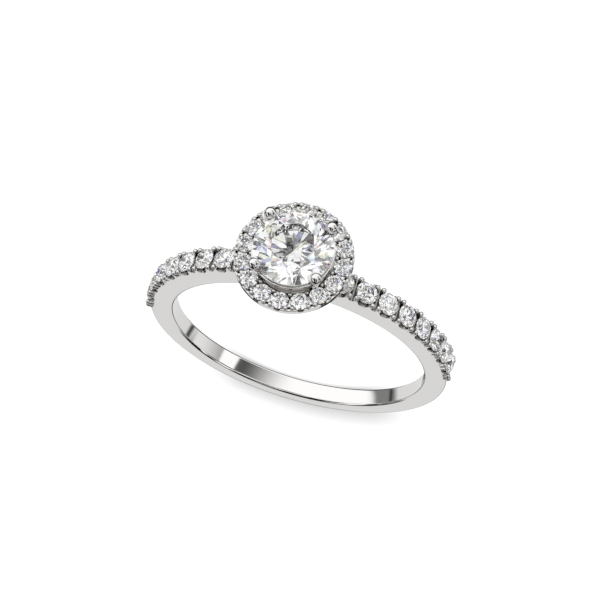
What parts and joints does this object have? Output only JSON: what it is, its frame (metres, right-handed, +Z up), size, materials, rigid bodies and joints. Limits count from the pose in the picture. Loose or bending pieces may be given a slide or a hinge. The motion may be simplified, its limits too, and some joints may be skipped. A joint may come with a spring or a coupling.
{
  "type": "halo ring",
  "caption": "Slim finger ring with a round cut stone held in prongs, a round halo of small stones about it, and small stones set along both shoulders of the band.",
  "frame": {"origin": "middle of the lower face of the bounding box: the surface that the ring lies on", "axes": "+X from the left shoulder to the right one, +Y from the back of the band to the head, +Z up; the finger hole's axis leans 8.1 degrees from +Z towards -Y"},
  "size_m": [0.02, 0.0226, 0.007],
  "materials": {
    "white_gold": "polished white gold",
    "brilliant_stone": "colourless faceted stone"
  },
  "bodies": {
    "root": {"ring_mount": "white_gold", "centre_stone": "brilliant_stone", "halo_stone_01": "brilliant_stone", "halo_stone_02": "brilliant_stone", "halo_stone_03": "brilliant_stone", "halo_stone_04": "brilliant_stone", "halo_stone_05": "brilliant_stone", "halo_stone_06": "brilliant_stone", "halo_stone_07": "brilliant_stone", "halo_stone_08": "brilliant_stone", "halo_stone_09": "brilliant_stone", "halo_stone_10": "brilliant_stone", "halo_stone_11": "brilliant_stone", "halo_stone_12": "brilliant_stone", "halo_stone_13": "brilliant_stone", "halo_stone_14": "brilliant_stone", "halo_stone_15": "brilliant_stone", "halo_stone_16": "brilliant_stone", "left_stone_1": "brilliant_stone", "left_stone_2": "brilliant_stone", "left_stone_3": "brilliant_stone", "left_stone_4": "brilliant_stone", "left_stone_5": "brilliant_stone", "left_stone_6": "brilliant_stone", "left_stone_7": "brilliant_stone", "left_stone_8": "brilliant_stone", "right_stone_1": "brilliant_stone", "right_stone_2": "brilliant_stone", "right_stone_3": "brilliant_stone", "right_stone_4": "brilliant_stone", "right_stone_5": "brilliant_stone", "right_stone_6": "brilliant_stone", "right_stone_7": "brilliant_stone", "right_stone_8": "brilliant_stone"}
  },
  "joints": []
}
